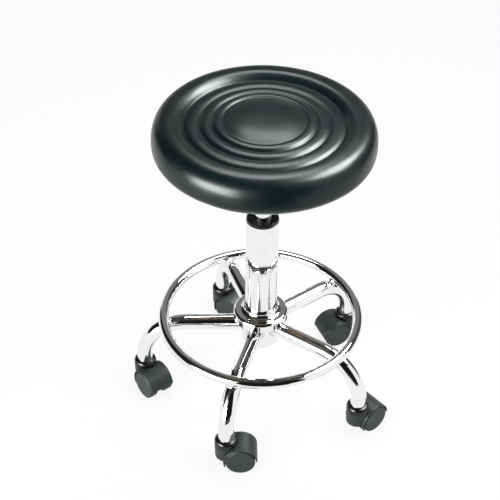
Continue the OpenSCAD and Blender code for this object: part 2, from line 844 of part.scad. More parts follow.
module caster_stem(i) {
    stem_top_h = leg_foot_h + stem_l;
    color("#b9bcc0")
    caster_placed(i) difference() {
        union() {
            translate([0, 0, stem_foot_h]) cylinder(r = stem_r, h = stem_top_h - stem_tip_h - stem_foot_h);
            translate([0, 0, stem_top_h - stem_tip_h])
                cylinder(r1 = stem_r, r2 = stem_tip_r, h = stem_tip_h);
        }
        flat_ring(stem_r + over, stem_r - stem_groove_t, stem_top_h - stem_ring_drop - touch_gap,
                  stem_ring_w + 2 * touch_gap);
    }
}

module stem_rings() {
    color("#8d9094")
    for (i = leg_ids) leg_turned(i) translate([leg_reach, 0, 0])
        flat_ring(stem_r - touch_gap, stem_r - stem_groove_t + touch_gap,
                  leg_foot_h + stem_l - stem_ring_drop, stem_ring_w);
}

// A wheel with its inner face at zero and its closed outer face at wheel_w
module wheel_form() {
    bore_r = axle_d / 2 + run_gap;
    rim_r = wheel_r - wheel_rim_t;
    rotate_extrude() polygon(concat(
        [[bore_r, 0], [wheel_hub_r, 0], [wheel_hub_r, wheel_recess], [rim_r, wheel_recess], [rim_r, 0],
         [wheel_r - wheel_edge_r, 0]],
        edge_points(wheel_r - wheel_edge_r, wheel_edge_r, wheel_edge_r, -90, 0),
        edge_points(wheel_r - wheel_edge_r, wheel_w - wheel_edge_r, wheel_edge_r, 0, 90),
        [[0, wheel_w], [0, wheel_w - wheel_cap_t], [bore_r, wheel_w - wheel_cap_t]]));
}

module wheel(i, side) {
    color("#2e3536")
    caster_placed(i) translate([trail, side * wheel_in_y, wheel_r]) rotate([-90 * side, 0, 0]) wheel_form();
}

seat_cover();
seat_foam();
seat_board();
hem_staples();
seat_plate();
taper_socket();
plate_bolts();
tee_nuts();
lever_rod();
lever_grip();
lever_pin();
gas_cylinder();
cylinder_gland();
release_button();
piston();
piston_rod();
bump_stop();
bearing_top_washer();
thrust_bearing();
bearing_lower_washer();
retaining_clip();
guide_bush();
column_tube();
hub();
hub_cover();
foot_ring();
ring_welds();
leg_welds();
caster_sockets();
stem_rings();
for (i = leg_ids) {
    leg(i);
    caster_housing(i);
    caster_axle(i);
    caster_stem(i);
    wheel(i, 1);
    wheel(i, -1);
}
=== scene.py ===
import math

import bmesh
import bpy
from mathutils import Matrix, Vector, noise


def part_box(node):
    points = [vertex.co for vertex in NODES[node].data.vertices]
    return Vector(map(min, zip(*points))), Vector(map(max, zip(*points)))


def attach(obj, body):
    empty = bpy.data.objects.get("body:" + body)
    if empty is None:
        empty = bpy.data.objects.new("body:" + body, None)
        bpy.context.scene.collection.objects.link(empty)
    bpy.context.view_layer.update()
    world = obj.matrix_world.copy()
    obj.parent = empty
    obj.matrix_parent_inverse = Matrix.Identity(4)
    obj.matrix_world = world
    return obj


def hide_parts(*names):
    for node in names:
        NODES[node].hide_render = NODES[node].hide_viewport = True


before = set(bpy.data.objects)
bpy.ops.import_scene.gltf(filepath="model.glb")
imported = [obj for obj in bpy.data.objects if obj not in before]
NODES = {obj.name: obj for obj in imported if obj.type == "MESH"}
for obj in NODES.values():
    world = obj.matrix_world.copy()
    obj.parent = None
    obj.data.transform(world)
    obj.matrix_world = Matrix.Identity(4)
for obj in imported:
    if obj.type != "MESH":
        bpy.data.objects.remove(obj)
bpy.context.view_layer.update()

bl_info = {
    "name": "Gas Lift Work Stool",
    "version": (1, 0, 0),
    "blender": (4, 5, 0),
    "location": "View3D > Sidebar > Work Stool",
    "description": "A round padded stool on a gas lift, over a chromed five-leg base with casters",
    "category": "Object",
}

MM = 0.001
LEGS = range(1, 6)
FULL_TURN = math.tau

# Points closer than this are one point, and edges that turn by more than the crease angle stay sharp
SAME_POINT = 0.001 * MM
CREASE = math.radians(50)

# Steps along the pad's half section: from one groove to the next, over the rim, under it and along the hem
GROOVE_STEPS = 12
RIM_STEPS = 24
TUCK_STEPS = 12
HEM_STEPS = 8
PAD_SPIN_STEPS = 192

# Powers that shape the pad's top: how flat the dome's middle is, and how hollow the rim's inner slope is
DOME_POWER = 3
SLOPE_POWER = 2

# Clearances of the pad over the board and of the hub's cover round the column
BOARD_GAP = 0.3 * MM
COLUMN_GAP = 0.1 * MM

# The cloth simulation: its number of frames, and how far the grip on it reaches from a groove, over the
# foot and past the hem's edge
CLOTH_FRAMES = 20
GROOVE_GRIP = 2.5 * MM
FOOT_GRIP = 4 * MM
HEM_GRIP = 30 * MM

# Hand-made unevenness of the cover: how close its slow and fine waves lie, how far they move it, and how
# much of it the top has
SLOW_WAVES = 16
SLOW_MOVE = 0.5 * MM
FINE_WAVES = 40
FINE_MOVE = 0.15 * MM
TOP_SHARE = 0.6

# Folds of the hem: how deep they hang, how far they reach on either side of the board's edge, and how
# often and how much they shift sideways and change in depth on the way round. The depth's own place in
# the noise keeps it apart from the shift.
FOLD_DEPTH = 1.1 * MM
FOLD_REACH = 24 * MM
SHIFT_WAVES = 5
SHIFT = 0.7
DEPTH_WAVES = 9
DEPTH_PLACE = Vector((0, 0, 3))
MEAN_DEPTH = 0.6
DEPTH_CHANGE = 0.8

# Points that lie this close to a line count as on it
NEAR = 1 * MM

# Steps of the hub's cover: up its skirt, over its shoulder, up its neck and round the column
SKIRT_STEPS = 4
SHOULDER_STEPS = 16
NECK_STEPS = 20
COVER_SPIN_STEPS = 144

# The floor's size in metres and its fineness, and the degrees from one upright of a screen to the next
FLOOR_RADIUS = 8
FLOOR_STEPS = 96
SCREEN_STEP = 6

# Watts of each square metre of a lamp that looks white in a mirror
WHITE_POWER = 4

# Where the lamps point: the middle of the whole stool, or of its seat
STOOL_MIDDLE = (0, 0, 0.3)
SEAT_MIDDLE = (0, 0, 0.52)

# Lamps that only light matt surfaces: name, place, width and height
LAMPS = (
    ("Left lamp", (-1.32, -1.37, 0.87), 1.3, 1.4),
    ("Right lamp", (1.5, -0.54, 1.53), 1.2, 1.2),
    ("Back lamp", (0.1, 0.94, 2.27), 1.5, 0.95),
)

# Lamps that are only seen in reflections: name, place, target, width, height and share of the gleam setting
GLEAMS = (
    ("Left gleam", (-1.36, -1.33, 0.5), STOOL_MIDDLE, 1.3, 0.9, 1.1),
    ("Right gleam", (1.2, 0.34, 1.95), STOOL_MIDDLE, 1.3, 0.9, 1.4),
    ("Back gleam", (0.03, 0.38, 1.22), SEAT_MIDDLE, 0.5, 0.36, 0.36),
)

# Screens that are only seen in reflections: name, first and last compass angle, outline and brightness
SCREENS = (
    ("screen_front", 136, 201, ((2.0, 0.02), (2.0, 3.4)), 0.01),
    ("screen_front_floor", 152, 196, ((0.75, 0.004), (2.0, 0.004)), 0.01),
    ("screen_left", -110, -42, ((2.1, 0.25), (2.1, 3.4)), 0.015),
    ("screen_back_left", -159, -110, ((2.2, 1.9), (2.2, 3.4)), 0.1),
    ("screen_right", 84, 136, ((2.2, 2.2), (2.2, 3.4)), 0.1),
    ("screen_right_rear", 34, 84, ((2.1, 0.05), (2.1, 3.4)), 0.07),
    ("screen_back_low", -30, 34, ((2.1, 0.3), (2.1, 0.95)), 0.45),
    ("screen_back_high", -42, 34, ((2.1, 0.95), (2.1, 3.4)), 0.2),
    ("screen_ceiling", 0, 360, ((2.2, 3.4), (1.0, 3.4), (0.002, 3.4)), 0.05),
)


def linear(red, green, blue):
    """A colour as a screen shows it, from 0 to 255, turned into the linear values that Blender works in."""
    def one(value):
        value /= 255
        return value / 12.92 if value <= 0.04045 else ((value + 0.055) / 1.055) ** 2.4
    return one(red), one(green), one(blue)


def length_prop(name, description, default, low, high):
    return bpy.props.FloatProperty(
        name=name, description=description, default=default, min=low, max=high,
        unit="LENGTH", subtype="DISTANCE")


def colour_prop(name, description, default):
    return bpy.props.FloatVectorProperty(
        name=name, description=description, default=default, min=0, max=1, size=3, subtype="COLOR")


def share_prop(name, description, default, high=1.0):
    return bpy.props.FloatProperty(
        name=name, description=description, default=default, min=0, max=high, subtype="FACTOR")


def angle_prop(name, description, degrees):
    return bpy.props.FloatProperty(
        name=name, description=description, default=math.radians(degrees), unit="ROTATION", subtype="ANGLE")


class PadSettings(bpy.types.PropertyGroup):
    """Sizes of the padded seat. Its outer size follows the frame."""

    grooves: bpy.props.FloatVectorProperty(
        name="Groove radii", description="Radii of the four ring grooves, from the middle outwards",
        default=(60 * MM, 75 * MM, 93 * MM, 115 * MM), size=4, unit="LENGTH", subtype="XYZ_LENGTH")
    groove_drop: length_prop(
        "Groove drop", "Depth of the innermost groove below the rim's crest", 4 * MM, 0, 0.03)
    groove_step: length_prop("Groove step", "How much deeper each next groove lies", 2 * MM, 0, 0.01)
    dome_rise: length_prop("Dome rise", "Height of the middle over its groove", 7 * MM, 0, 0.02)
    ridge_rise: length_prop("Ridge rise", "Height of a ridge over its grooves", 3 * MM, 0, 0.01)
    rim_over: length_prop(
        "Rim width", "Width of the rim's outer curve above its widest line", 30 * MM, 0.01, 0.05)
    fullness: bpy.props.FloatProperty(
        name="Fullness", default=2.7, min=2, max=4,
        description="How full the ridges and the rim are, from 2 for round to 4 for nearly square")
    rim_rise: length_prop(
        "Rim height", "Height of the rim's crest over its widest line", 38 * MM, 0.02, 0.06)
    rim_under: length_prop(
        "Rim tuck", "Width of the rim's inward curve below its widest line", 22 * MM, 0.01, 0.05)
    under_rise: length_prop(
        "Widest line", "Height of the widest line over the pad's foot", 18 * MM, 0.005, 0.03)
    hem_radius: length_prop(
        "Hem radius", "Radius of the bare board inside the folded hem", 118 * MM, 0.05, 0.15)
    hem_thick: length_prop(
        "Hem thickness", "Thickness of the cover where it is folded under", 1.2 * MM, 0.0005, 0.004)
    swell_limit: length_prop(
        "Swell limit", "The furthest that the stuffing pushes the cover out", 1.6 * MM, 0, 0.01)
    pleats: bpy.props.IntProperty(
        name="Pleats", description="Number of folds of the hem", default=36, min=0, max=90)
    colour: colour_prop("Vinyl", "Colour of the vinyl", linear(9, 30, 31))
    gloss: share_prop("Gloss", "How much the vinyl shines", 0.12)


class MetalSettings(bpy.types.PropertyGroup):
    """Finish of the chromed and plated pieces, and the shape of the hub's cover."""

    chrome: colour_prop("Chrome", "Colour of the chrome plating", linear(240, 241, 240))
    zinc: colour_prop("Zinc", "Colour of the zinc plating", linear(176, 180, 184))
    enamel: colour_prop("Enamel", "Colour of the enamelled plate", linear(40, 42, 44))
    smudge: share_prop("Smudges", "How much the chrome is smudged", 0.3)
    cover_plate: length_prop("Cover plate", "Thickness of the hub's cover", 1.2 * MM, 0.0005, 0.003)
    cover_skirt: length_prop(
        "Cover skirt", "Height of the upright skirt of the hub's cover", 10 * MM, 0.002, 0.02)
    cover_shoulder: length_prop(
        "Cover shoulder", "Width of the round shoulder of the hub's cover", 6 * MM, 0.001, 0.012)
    cover_rise: length_prop(
        "Shoulder height", "Height of the round shoulder of the hub's cover", 5 * MM, 0.001, 0.012)


class PlasticSettings(bpy.types.PropertyGroup):
    """Finish of the moulded pieces."""

    hood: colour_prop("Hoods", "Colour of the caster hoods", linear(38, 50, 49))
    wheel: colour_prop("Wheels", "Colour of the wheels", linear(52, 64, 62))
    gloss_black: colour_prop("Gloss black", "Colour of the collars and the bush", linear(9, 11, 11))
    grip: colour_prop("Grip", "Colour of the lever's grip and its button", linear(16, 17, 18))


class StageSettings(bpy.types.PropertyGroup):
    """Camera, floor and light."""

    camera_place: bpy.props.FloatVectorProperty(
        name="Camera place", description="Where the camera stands",
        default=(1.385 * MM, -1517.21 * MM, 1531.8 * MM), size=3, unit="LENGTH", subtype="XYZ_LENGTH")
    camera_pitch: angle_prop("Camera pitch", "How far the camera looks down", 39.477)
    camera_yaw: angle_prop("Camera yaw", "How far the camera is turned to the left", 0.745)
    camera_roll: angle_prop("Camera roll", "How far the camera is rolled", 0.859)
    camera_fov: angle_prop("Camera angle", "The camera's angle of view", 22.0)
    floor: colour_prop("Floor", "Colour of the floor", linear(250, 250, 250))
    floor_bounce: share_prop(
        "Floor bounce", "Share of the light that the floor throws back on the stool", 0.45)
    floor_shade: share_prop("Floor shade", "How much the shadow on the floor shows", 0.2)
    floor_glow: share_prop(
        "Floor glow", "Brightness that the floor has of its own where it is seen", 0.895)
    room: share_prop("Room light", "Strength of the light from all round", 0.2)
    panel: share_prop("Lamps", "Brightness of the lamps on matt surfaces", 2.5, 20)
    gleam: share_prop("Gleams", "Brightness of the lamps in reflections", 22.0, 60)


class StoolSettings(bpy.types.PropertyGroup):
    """All settings of the stool."""

    pad: bpy.props.PointerProperty(name="Pad", description="Padded seat", type=PadSettings)
    metal: bpy.props.PointerProperty(
        name="Metal", description="Chromed and plated pieces", type=MetalSettings)
    plastic: bpy.props.PointerProperty(name="Plastic", description="Moulded pieces", type=PlasticSettings)
    stage: bpy.props.PointerProperty(name="Stage", description="Camera, floor and light", type=StageSettings)


def new_object(name, bm):
    """Makes an object of the mesh and links it to the scene."""
    mesh = bpy.data.meshes.new(name)
    bm.to_mesh(mesh)
    bm.free()
    obj = bpy.data.objects.new(name, mesh)
    bpy.context.scene.collection.objects.link(obj)
    return obj


def spin_line(bm, points, steps, angle=FULL_TURN):
    """Spins a line of (radius, height) points round the Z axis, all the way round unless told otherwise."""
    verts = [bm.verts.new((radius, 0, height)) for radius, height in points]
    edges = [bm.edges.new(pair) for pair in zip(verts, verts[1:])]
    bmesh.ops.spin(bm, geom=verts + edges, cent=(0, 0, 0), axis=(0, 0, 1), angle=angle, steps=steps,
                   use_merge=math.isclose(angle, FULL_TURN))
    bmesh.ops.remove_doubles(bm, verts=bm.verts, dist=SAME_POINT)
    bmesh.ops.recalc_face_normals(bm, faces=bm.faces)


def arc(radius, height, across, up, start, end, steps):
    """Points on an arc of an ellipse, with its angles in degrees."""
    angles = [math.radians(start + (end - start) * i / steps) for i in range(steps + 1)]
    return [(radius + across * math.cos(a), height + up * math.sin(a)) for a in angles]


def smooth(obj):
    """Shades the faces smoothly, but keeps each edge sharp that turns by more than the crease angle."""
    obj.data.polygons.foreach_set("use_smooth", [True] * len(obj.data.polygons))
    obj.data.set_sharp_from_angle(angle=CREASE)
    obj.data.update()


def effect(name, inputs, outputs):
    """A new shader node group that reads a place and named numbers, each with its default. Also gives the
    sockets of what goes into it and of what it puts out."""
    tree = bpy.data.node_groups.new(name, "ShaderNodeTree")
    tree.interface.new_socket("Vector", in_out="INPUT", socket_type="NodeSocketVector")
    for label, value in inputs.items():
        socket = tree.interface.new_socket(label, in_out="INPUT", socket_type="NodeSocketFloat")
        socket.default_value = value
    for label in outputs:
        tree.interface.new_socket(label, in_out="OUTPUT", socket_type="NodeSocketFloat")
    return tree, tree.nodes.new("NodeGroupInput").outputs, tree.nodes.new("NodeGroupOutput").inputs


def add(tree, kind, **settings):
    """Adds a node with its settings."""
    node = tree.nodes.new(kind)
    for key, value in settings.items():
        setattr(node, key, value)
    return node


def feed(tree, socket, value):
    """Gives an input a plain value, or links it to another node's output."""
    if isinstance(value, bpy.types.NodeSocket):
        tree.links.new(value, socket)
    else:
        socket.default_value = value


def noise_at(tree, vector, scale, detail, roughness=0.5):
    """A noise pattern at the given place, with values about 0.5."""
    node = add(tree, "ShaderNodeTexNoise")
    for label, value in (("Vector", vector), ("Scale", scale), ("Detail", detail), ("Roughness", roughness)):
        feed(tree, node.inputs[label], value)
    return node.outputs["Fac"]


def ramp(tree, value, low, high, low_out=0.0, high_out=1.0):
    """Maps a value from one range to another, and holds it at the ends."""
    node = add(tree, "ShaderNodeMapRange")
    tree.links.new(value, node.inputs["Value"])
    for label, number in (("From Min", low), ("From Max", high), ("To Min", low_out), ("To Max", high_out)):
        node.inputs[label].default_value = number
    return node.outputs["Result"]


def maths(tree, operation, *values):
    """The result of a sum on numbers or outputs."""
    node = add(tree, "ShaderNodeMath", operation=operation)
    for socket, value in zip(node.inputs, values):
        feed(tree, socket, value)
    return node.outputs["Value"]


def stretched(tree, vector, scale):
    """The place with each of its axes scaled."""
    node = add(tree, "ShaderNodeMapping")
    tree.links.new(vector, node.inputs["Vector"])
    node.inputs["Scale"].default_value = scale
    return node.outputs["Vector"]


def leather_grain():
    """Fine pebble of embossed vinyl: a height, and a mask of its hollows."""
    tree, given, out = effect(
        "Vinyl grain", {"Pebble size": 0.0012, "Unevenness": 0.4}, ("Height", "Hollows"))
    scale = maths(tree, "DIVIDE", 1.0, given["Pebble size"])
    cells = add(tree, "ShaderNodeTexVoronoi", feature="SMOOTH_F1")
    tree.links.new(given["Vector"], cells.inputs["Vector"])
    tree.links.new(scale, cells.inputs["Scale"])
    cells.inputs["Smoothness"].default_value = 0.6
    pits = noise_at(tree, given["Vector"], maths(tree, "MULTIPLY", scale, 0.35), detail=2)
    uneven = maths(tree, "MULTIPLY", pits, given["Unevenness"])
    tree.links.new(maths(tree, "SUBTRACT", uneven, cells.outputs["Distance"]), out["Height"])
    tree.links.new(ramp(tree, cells.outputs["Distance"], 0.35, 0.75), out["Hollows"])
    return tree


def moulded_texture():
    """Fine spark texture of a moulding tool, with soft sink marks."""
    tree, given, out = effect("Moulded texture", {"Grain size": 0.0006, "Sink": 0.5}, ("Height", "Bloom"))
    place = given["Vector"]
    grain = noise_at(tree, place, maths(tree, "DIVIDE", 1.0, given["Grain size"]), detail=2)
    sinks = maths(tree, "MULTIPLY", noise_at(tree, place, 60, detail=2), given["Sink"])
    tree.links.new(maths(tree, "ADD", grain, sinks), out["Height"])
    tree.links.new(ramp(tree, noise_at(tree, place, 45, detail=4), 0.35, 0.7), out["Bloom"])
    return tree


def metal_wear():
    """Smudges and hairlines of handled metal."""
    tree, given, out = effect(
        "Metal wear", {"Smudge size": 0.03, "Hairline size": 0.0008}, ("Smudge", "Hairline"))
    blot = noise_at(tree, given["Vector"], maths(tree, "DIVIDE", 1.0, given["Smudge size"]), detail=5)
    tree.links.new(ramp(tree, blot, 0.45, 0.75), out["Smudge"])
    along = stretched(tree, given["Vector"], (1, 1, 0.04))
    lines = noise_at(tree, along, maths(tree, "DIVIDE", 1.0, given["Hairline size"]), detail=2)
    tree.links.new(ramp(tree, lines, 0.55, 0.75), out["Hairline"])
    return tree


def edge_wear():
    """A mask of worn outer edges, from the difference between the flat normal and a rounded one."""
    tree, given, out = effect("Edge wear", {"Width": 0.0006, "Patchiness": 0.6}, ("Worn",))
    rounded = add(tree, "ShaderNodeBevel", samples=4)
    tree.links.new(given["Width"], rounded.inputs["Radius"])
    flat = add(tree, "ShaderNodeNewGeometry")
    turn = add(tree, "ShaderNodeVectorMath", operation="DOT_PRODUCT")
    tree.links.new(rounded.outputs["Normal"], turn.inputs[0])
    tree.links.new(flat.outputs["Normal"], turn.inputs[1])
    edge = ramp(tree, turn.outputs["Value"], 0.98, 0.85)
    patches = ramp(tree, noise_at(tree, given["Vector"], 180, detail=4), 0.4, 0.62)
    missing = maths(tree, "SUBTRACT", patches, 1.0)
    kept = maths(tree, "MULTIPLY_ADD", missing, given["Patchiness"], 1.0)
    tree.links.new(maths(tree, "MULTIPLY", edge, kept), out["Worn"])
    return tree


class Finish:
    """A material being made: its tree, its shader and the object coordinates that its patterns read."""

    def __init__(self, name, colour, roughness, metallic=0.0):
        material = bpy.data.materials.new(name)
        material.use_nodes = True
        self.tree = material.node_tree
        self.shader = self.tree.nodes["Principled BSDF"]
        self.shader.inputs["Base Color"].default_value = (*colour, 1)
        self.shader.inputs["Roughness"].default_value = roughness
        self.shader.inputs["Metallic"].default_value = metallic
        self.place = add(self.tree, "ShaderNodeTexCoord").outputs["Object"]

    def use(self, group, **values):
        """Places an effect in this material, on its object coordinates."""
        node = add(self.tree, "ShaderNodeGroup", node_tree=group)
        self.tree.links.new(self.place, node.inputs["Vector"])
        for label, value in values.items():
            node.inputs[label.replace("_", " ").capitalize()].default_value = value
        return node.outputs

    def noise(self, scale, detail):
        return noise_at(self.tree, self.place, scale, detail)

    def ramp(self, value, low, high):
        return ramp(self.tree, value, low, high)

    def share(self, mask, part):
        """A mask turned down to a part of its strength."""
        return maths(self.tree, "MULTIPLY", mask, part)

    def tint(self, mask, colour, base):
        """Blends the base colour to another where the mask is 1."""
        node = add(self.tree, "ShaderNodeMix", data_type="RGBA")
        self.tree.links.new(mask, node.inputs["Factor"])
        colours = [socket for socket in node.inputs if socket.type == "RGBA"]
        feed(self.tree, colours[0], base if isinstance(base, bpy.types.NodeSocket) else (*base, 1))
        feed(self.tree, colours[1], (*colour, 1))
        out = next(socket for socket in node.outputs if socket.type == "RGBA")
        self.tree.links.new(out, self.shader.inputs["Base Color"])
        return out

    def drive(self, label, mask, low_out, high_out, low=0.0, high=1.0):
        """Lets a mask, from low to high, drive an input of the shader from one value to another."""
        self.tree.links.new(ramp(self.tree, mask, low, high, low_out, high_out), self.shader.inputs[label])

    def bump(self, height, depth, strength=1.0):
        node = add(self.tree, "ShaderNodeBump")
        node.inputs["Distance"].default_value = depth
        node.inputs["Strength"].default_value = strength
        self.tree.links.new(height, node.inputs["Height"])
        self.tree.links.new(node.outputs["Normal"], self.shader.inputs["Normal"])


def scaled(colour, share):
    """The colour made darker or paler."""
    return [c * share for c in colour]


def vinyl(name, pad):
    """Embossed black vinyl, a little paler in soft clouds, with fine grain and uneven gloss."""
    finish = Finish(name, pad.colour, 0.26)
    grain = finish.use(EFFECTS["grain"], Pebble_size=1.3 * MM, Unevenness=0.5)
    finish.tint(finish.ramp(finish.noise(22, detail=3), 0.4, 0.7), scaled(pad.colour, 1.25), pad.colour)
    finish.drive("Roughness", finish.noise(35, detail=4), 0.28, 0.35, low=0.3, high=0.7)
    finish.drive("Coat Weight", grain["Hollows"], pad.gloss, pad.gloss * 0.5)
    finish.shader.inputs["Coat Roughness"].default_value = 0.24
    finish.shader.inputs["Specular IOR Level"].default_value = 0.25
    finish.bump(grain["Height"], 0.05 * MM, strength=0.35)


def chrome(name, metal):
    """Bright chrome plating with faint smudges and hairlines."""
    finish = Finish(name, metal.chrome, 0.05, metallic=1.0)
    wear = finish.use(EFFECTS["wear"], Smudge_size=28 * MM, Hairline_size=0.7 * MM)
    base = finish.tint(finish.share(wear["Smudge"], metal.smudge), scaled(metal.chrome, 0.93), metal.chrome)
    finish.tint(finish.share(wear["Hairline"], 0.05), scaled(metal.chrome, 0.8), base)
    finish.drive("Roughness", wear["Smudge"], 0.035, 0.11)
    finish.bump(finish.noise(70, detail=2), 0.02 * MM, strength=0.5)


def weld_chrome(name, metal):
    """Chrome over the ripples of a weld bead, with painted shade darkening the ripples' hollows."""
    finish = Finish(name, metal.chrome, 0.14, metallic=1.0)
    ripple = finish.noise(420, detail=3)
    # Painted shade: the chrome turns darker where the ripple is low, in the bead's hollows.
    finish.tint(finish.ramp(ripple, 0.3, 0.6), metal.chrome, scaled(metal.chrome, 0.55))
    finish.drive("Roughness", ripple, 0.1, 0.24)
    finish.bump(ripple, 0.6 * MM)


def zinc(name, metal):
    """Blue zinc plating, faintly patchy and brushed."""
    finish = Finish(name, metal.zinc, 0.38, metallic=1.0)
    wear = finish.use(EFFECTS["wear"], Smudge_size=9 * MM, Hairline_size=0.5 * MM)
    straw = (metal.zinc[0] * 1.04, metal.zinc[1] * 0.98, metal.zinc[2] * 0.84)
    finish.tint(wear["Smudge"], straw, metal.zinc)
    finish.drive("Roughness", wear["Hairline"], 0.32, 0.5)
    finish.bump(wear["Hairline"], 0.02 * MM)


def enamel(name, metal):
    """Black stoving enamel with orange peel, worn at its edges."""
    finish = Finish(name, metal.enamel, 0.42)
    worn = finish.use(EFFECTS["edges"], Width=0.7 * MM, Patchiness=0.8)["Worn"]
    finish.tint(worn, metal.zinc, metal.enamel)
    finish.drive("Roughness", finish.noise(90, detail=3), 0.34, 0.5, low=0.3, high=0.7)
    finish.bump(finish.noise(700, detail=2), 0.06 * MM, strength=0.6)


def moulded(name, colour, low, high, grain_size, depth):
    """Moulded plastic: a textured surface with a grey bloom, rubbed paler along its edges. Its roughness
    goes from low to high with the bloom."""
    finish = Finish(name, colour, low)
    texture = finish.use(EFFECTS["moulded"], Grain_size=grain_size, Sink=0.6)
    bloom = finish.tint(finish.share(texture["Bloom"], 0.5), scaled(colour, 1.35), colour)
    worn = finish.use(EFFECTS["edges"], Width=0.5 * MM, Patchiness=0.5)["Worn"]
    finish.tint(finish.share(worn, 0.6), [min(1, c * 2.4 + 0.01) for c in colour], bloom)
    finish.drive("Roughness", texture["Bloom"], low, high)
    finish.shader.inputs["Specular IOR Level"].default_value = 0.35
    finish.bump(texture["Height"], depth)


def plywood(name):
    """Birch plywood: long grain on the faces and thin dark and pale plies round the edge."""
    pale, dark = linear(206, 170, 118), linear(142, 101, 62)
    finish = Finish(name, pale, 0.62)
    tree = finish.tree
    grain = noise_at(tree, stretched(tree, finish.place, (1, 14, 1)), 9, detail=6, roughness=0.6)
    face = finish.tint(finish.ramp(grain, 0.4, 0.65), dark, pale)
    plies = add(tree, "ShaderNodeTexWave", wave_type="BANDS", bands_direction="Z")
    plies.inputs["Scale"].default_value = 130
    plies.inputs["Distortion"].default_value = 0.4
    tree.links.new(finish.place, plies.inputs["Vector"])
    split = add(tree, "ShaderNodeSeparateXYZ")
    tree.links.new(add(tree, "ShaderNodeNewGeometry").outputs["Normal"], split.inputs["Vector"])
    upright = maths(tree, "SUBTRACT", 1.0, maths(tree, "ABSOLUTE", split.outputs["Z"]))
    finish.tint(finish.share(upright, plies.outputs["Fac"]), dark, face)
    finish.drive("Roughness", grain, 0.55, 0.75)
    finish.bump(grain, 0.2 * MM, strength=0.5)


def dark_rubber(name):
    """Black rubber with grey dust on it."""
    colour, dusty = linear(24, 24, 25), linear(52, 51, 49)
    finish = Finish(name, colour, 0.7)
    dust = finish.noise(120, detail=4)
    finish.tint(finish.ramp(dust, 0.45, 0.75), dusty, colour)
    finish.drive("Roughness", dust, 0.6, 0.85)
    finish.bump(dust, 0.1 * MM, strength=0.5)


EFFECTS = {}


def make_finishes(stool):
    """Builds the effects once, and then every material by the name of what it is used on."""
    EFFECTS.update(grain=leather_grain(), moulded=moulded_texture(), wear=metal_wear(), edges=edge_wear())
    plastic = stool.plastic
    vinyl("Seat vinyl", stool.pad)
    chrome("Chrome plating", stool.metal)
    weld_chrome("Chromed weld", stool.metal)
    zinc("Zinc plating", stool.metal)
    enamel("Black enamel", stool.metal)
    moulded("Hood plastic", plastic.hood, 0.42, 0.56, grain_size=0.5 * MM, depth=0.03 * MM)
    moulded("Wheel plastic", plastic.wheel, 0.46, 0.62, grain_size=0.6 * MM, depth=0.03 * MM)
    moulded("Gloss black plastic", plastic.gloss_black, 0.22, 0.32, grain_size=1.2 * MM, depth=0.008 * MM)
    moulded("Grip plastic", plastic.grip, 0.4, 0.55, grain_size=0.7 * MM, depth=0.05 * MM)
    plywood("Plywood")
    dark_rubber("Black rubber")


def finish_nodes(name, *nodes):
    """Gives CAD nodes a material in every slot."""
    material = bpy.data.materials[name]
    for node in nodes:
        for slot in NODES[node].material_slots:
            slot.material = material


def lamp(name, place, target, width, height, brightness, gleam):
    """A flat soft lamp of the given size that faces the target. A brightness of 1 looks white in a mirror.
    A gleam is seen only in reflections, and other lamps only light matt surfaces."""
    data = bpy.data.lights.new(name, "AREA")
    data.shape, data.size, data.size_y = "RECTANGLE", width, height
    data.energy = WHITE_POWER * brightness * width * height
    obj = bpy.data.objects.new(name, data)
    obj.location = place
    obj.rotation_euler = (Vector(target) - Vector(place)).to_track_quat("-Z", "Y").to_euler()
    obj.visible_camera = False
    obj.visible_diffuse = not gleam
    obj.visible_glossy = gleam
    bpy.context.scene.collection.objects.link(obj)


def seen_directly(tree):
    """1 where a ray comes from the camera, from a reflection or through glass."""
    path = add(tree, "ShaderNodeLightPath")
    seen = maths(tree, "MAXIMUM", path.outputs["Is Camera Ray"], path.outputs["Is Glossy Ray"])
    return maths(tree, "MAXIMUM", seen, path.outputs["Is Transmission Ray"])


def white_room(strength):
    """White where it is seen or reflected, and an even soft light of the given strength otherwise."""
    world = bpy.data.worlds.new("White room")
    bpy.context.scene.world = world
    world.use_nodes = True
    tree = world.node_tree
    background = tree.nodes["Background"]
    tree.links.new(ramp(tree, seen_directly(tree), 0, 1, strength, 1), background.inputs["Strength"])
    background.inputs["Color"].default_value = (1, 1, 1, 1)


def bare_material(name):
    """A material without a surface yet, its tree and the input for its surface."""
    material = bpy.data.materials.new(name)
    material.use_nodes = True
    tree = material.node_tree
    tree.nodes.remove(tree.nodes["Principled BSDF"])
    return material, tree, tree.nodes["Material Output"].inputs["Surface"]


def floor_material(stage):
    """Pale floor, so bright where it is seen that only the shadow on it shows."""
    material, tree, surface = bare_material("Pale floor")
    matt = add(tree, "ShaderNodeBsdfDiffuse")
    matt.inputs["Color"].default_value = (*scaled(stage.floor, stage.floor_bounce), 1)
    shaded = add(tree, "ShaderNodeBsdfDiffuse")
    shaded.inputs["Color"].default_value = (*scaled(stage.floor, stage.floor_shade), 1)
    glow = add(tree, "ShaderNodeEmission")
    glow.inputs["Color"].default_value = (*stage.floor, 1)
    glow.inputs["Strength"].default_value = stage.floor_glow
    lit = add(tree, "ShaderNodeAddShader")
    tree.links.new(shaded.outputs["BSDF"], lit.inputs[0])
    tree.links.new(glow.outputs["Emission"], lit.inputs[1])
    mix = add(tree, "ShaderNodeMixShader")
    tree.links.new(seen_directly(tree), mix.inputs["Fac"])
    tree.links.new(matt.outputs["BSDF"], mix.inputs[1])
    tree.links.new(lit.outputs["Shader"], mix.inputs[2])
    tree.links.new(mix.outputs["Shader"], surface)
    return material


def screen_material(name, brightness):
    """Screen of an even grey."""
    material, tree, surface = bare_material(name)
    glow = add(tree, "ShaderNodeEmission")
    glow.inputs["Strength"].default_value = brightness
    tree.links.new(glow.outputs["Emission"], surface)
    return material


